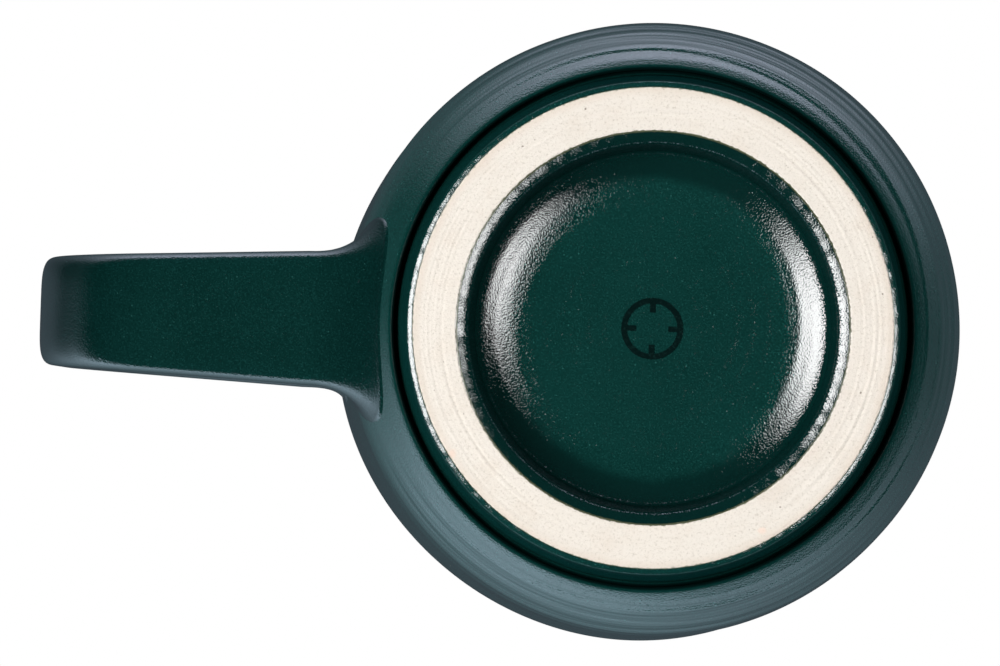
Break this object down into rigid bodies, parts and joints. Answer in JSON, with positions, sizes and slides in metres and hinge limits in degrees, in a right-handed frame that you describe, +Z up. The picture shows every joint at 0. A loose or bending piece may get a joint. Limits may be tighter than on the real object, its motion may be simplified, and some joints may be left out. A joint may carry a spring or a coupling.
{
  "type": "ceramic mug",
  "caption": "Stoneware mug: flared round cup with a trimmed shoulder, bare clay foot ring, recessed base and D-shaped strap handle, in dark green glaze.",
  "frame": {"origin": "on the cup's axis, in the plane the foot ring rests on", "axes": "+Z up along the cup's axis towards the lip; +X out through the middle of the handle; +Y across the handle"},
  "size_m": [0.1299, 0.0904, 0.096],
  "materials": {
    "clay_body": "fired buff stoneware, hidden under the glaze",
    "bare_clay": "fired buff stoneware, unglazed, with fine dark specks and turning lines",
    "green_glaze": "dark green satin glaze with fine texture, thinner and lighter on edges",
    "stamp_stain": "dark ceramic stain fired into the glaze"
  },
  "bodies": {
    "root": {"cup_body": "clay_body", "foot_ring": "bare_clay", "handle_strap": "clay_body", "lower_handle_root": "clay_body", "upper_handle_root": "clay_body", "outer_glaze": "green_glaze", "liner_glaze": "green_glaze", "base_glaze": "green_glaze", "handle_glaze": "green_glaze", "base_stamp": "stamp_stain"}
  },
  "joints": []
}
